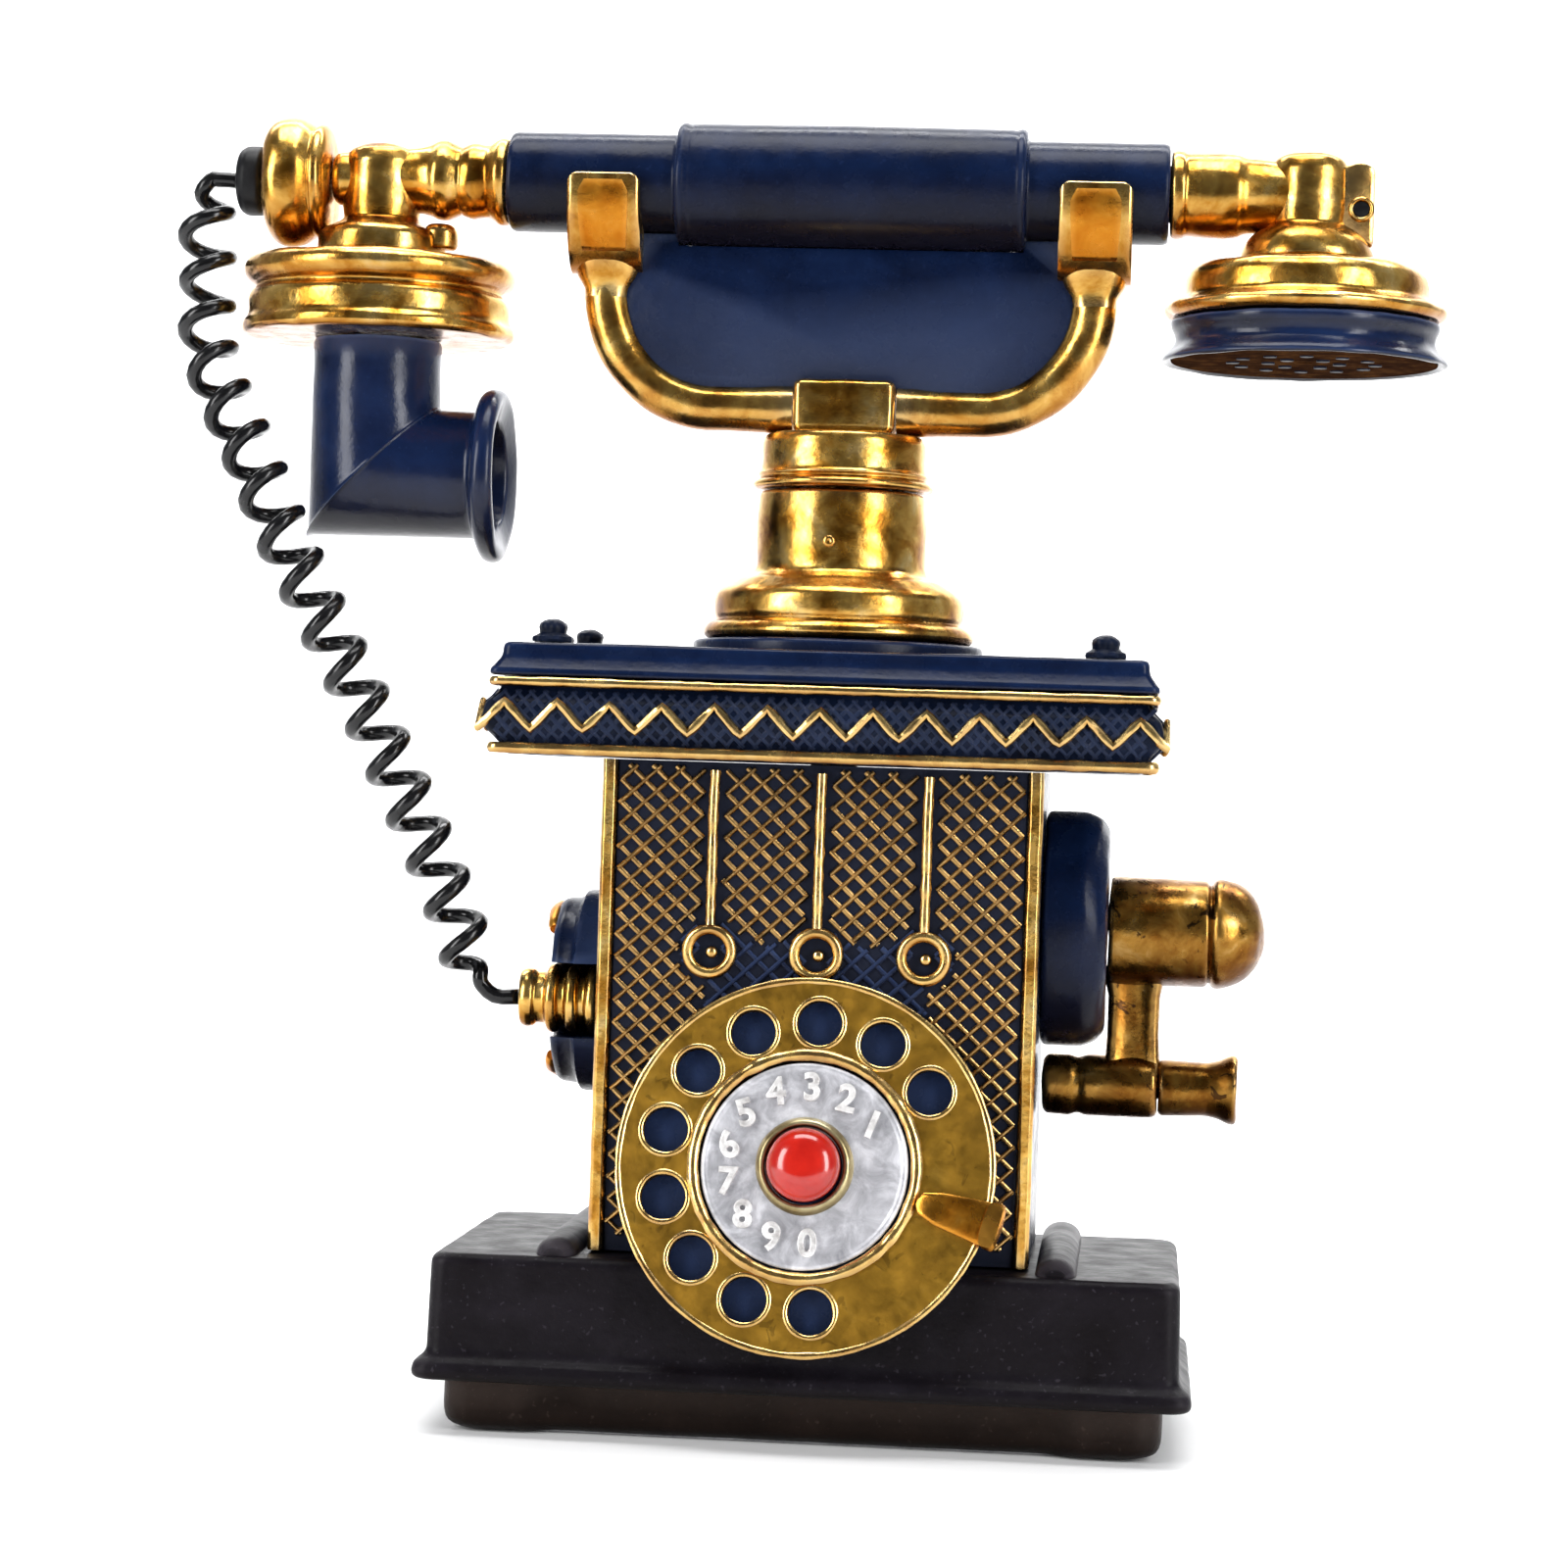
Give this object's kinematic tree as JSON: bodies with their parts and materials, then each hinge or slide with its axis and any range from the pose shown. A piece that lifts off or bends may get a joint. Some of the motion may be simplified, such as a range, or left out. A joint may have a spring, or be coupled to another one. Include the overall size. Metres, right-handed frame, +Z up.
{
  "type": "cradle telephone",
  "caption": "French-style table telephone: a fork cradle on a pillar holds the handset over a square body with a finger dial and a side crank, on a flat base.",
  "frame": {"origin": "centre of the flat underside, below the pillar's axis", "axes": "+Z up along the pillar, -Y out of the dial side, +X towards the crank and the ear cap"},
  "size_m": [0.274, 0.0947, 0.2769],
  "materials": {
    "navy": "satin navy paint",
    "dark_navy": "dark blue-black paint on cast metal",
    "gold": "antique gold, rubbed bright on the edges",
    "bronze": "dull bronze",
    "silver": "matt silvered",
    "red": "glossy red",
    "black": "glossy black",
    "steel": "plain steel",
    "copper": "lacquered copper wire",
    "bakelite": "brown phenolic"
  },
  "bodies": {
    "housing": {"base_shell": "dark_navy", "plinth": "dark_navy", "bottom_plate": "steel", "body_shell": "navy", "front_grille": "bronze", "edge_trim_left": "gold", "edge_trim_right": "gold", "drop_ring_left": "gold", "drop_ring_centre": "gold", "drop_ring_right": "gold", "roof": "navy", "frieze": "navy", "zigzag_trim": "gold", "corner_knob_front_left": "navy", "corner_knob_front_right": "navy", "corner_knob_rear_left": "navy", "corner_knob_rear_right": "navy", "pillar": "gold", "pillar_collar": "gold", "cord_boss": "navy", "cord_gland": "gold", "curly_cord": "black", "magneto_drum": "navy", "magnet": "steel", "dial_plate": "navy", "dial_cup": "steel", "number_plate": "silver", "finger_stop": "gold", "gong_left": "steel", "gong_right": "steel", "ringer_coils": "copper", "induction_coil": "copper", "capacitor": "silver", "terminal_block": "bakelite", "switch_stack": "bakelite"},
    "cradle": {"cradle_block": "gold", "cradle_arm_left": "gold", "cradle_arm_right": "gold", "cradle_web": "navy"},
    "handset": {"handle": "navy", "transmitter_bracket": "gold", "transmitter_housing": "gold", "transmitter_capsule": "steel", "mouthpiece": "navy", "end_knob": "gold", "cord_bush": "black", "receiver_bracket": "gold", "receiver_housing": "gold", "receiver_capsule": "steel", "ear_cap": "navy"},
    "dial": {"finger_wheel": "bronze", "dial_gear": "steel"},
    "governor": {"governor": "steel"},
    "call_button": {"call_button": "red"},
    "crank": {"crank_arm": "gold", "crank_gear": "steel"},
    "crank_grip": {"crank_grip": "gold"},
    "armature": {"armature": "steel"},
    "clapper": {"clapper": "steel"},
    "switch_lever": {"switch_lever": "steel"}
  },
  "joints": [
    {"name": "handset_lift", "type": "slide", "parent": "housing", "child": "handset", "axis": [0, 0, 1], "range_m": [0, 0.15], "deforming": ["curly_cord"]},
    {"name": "cradle_rise", "type": "slide", "parent": "housing", "child": "cradle", "axis": [0, 0, 1], "range_m": [0, 0.006]},
    {"name": "lever_swing", "type": "hinge", "parent": "housing", "child": "switch_lever", "pos_m": [-0.016, 0, 0.127], "axis": [0, -1, 0], "range_deg": [0, 15.6]},
    {"name": "dial_turn", "type": "hinge", "parent": "housing", "child": "dial", "pos_m": [0, -0.03776, 0.057], "axis": [0, 0.9781, -0.2079], "range_deg": [0, 290], "stiffness_Nm_per_rad": 0.004, "springref_deg": -17.19},
    {"name": "governor_spin", "type": "hinge", "parent": "housing", "child": "governor", "pos_m": [0, -0.03344, 0.07735], "axis": [0, 0.9781, -0.2079], "range_deg": [-872, 0]},
    {"name": "button_press", "type": "slide", "parent": "housing", "child": "call_button", "axis": [0, 0.9781, -0.2079], "range_m": [0, 0.002], "stiffness_N_per_m": 300, "springref_m": -0.0005},
    {"name": "crank_turn", "type": "hinge", "parent": "housing", "child": "crank", "pos_m": [0.06, 0, 0.1068], "axis": [1, 0, 0], "range_deg": [-130, 130]},
    {"name": "crank_grip_spin", "type": "hinge", "parent": "crank", "child": "crank_grip", "pos_m": [0.079, 0, 0.0737], "axis": [1, 0, 0], "continuous": true},
    {"name": "armature_spin", "type": "hinge", "parent": "housing", "child": "armature", "pos_m": [0.01, 0.01, 0.08498], "axis": [1, 0, 0], "range_deg": [-392, 392]},
    {"name": "clapper_swing", "type": "hinge", "parent": "housing", "child": "clapper", "pos_m": [0, 0.024, 0.012], "axis": [0, 0, 1], "range_deg": [-4, 4]}
  ],
  "couplings": [
    {"joint": "cradle_rise", "follows": "handset_lift", "ratio": 0.04},
    {"joint": "lever_swing", "follows": "handset_lift", "rad_per_m": 1.8},
    {"joint": "governor_spin", "follows": "dial_turn", "ratio": -3},
    {"joint": "armature_spin", "follows": "crank_turn", "ratio": -3}
  ]
}
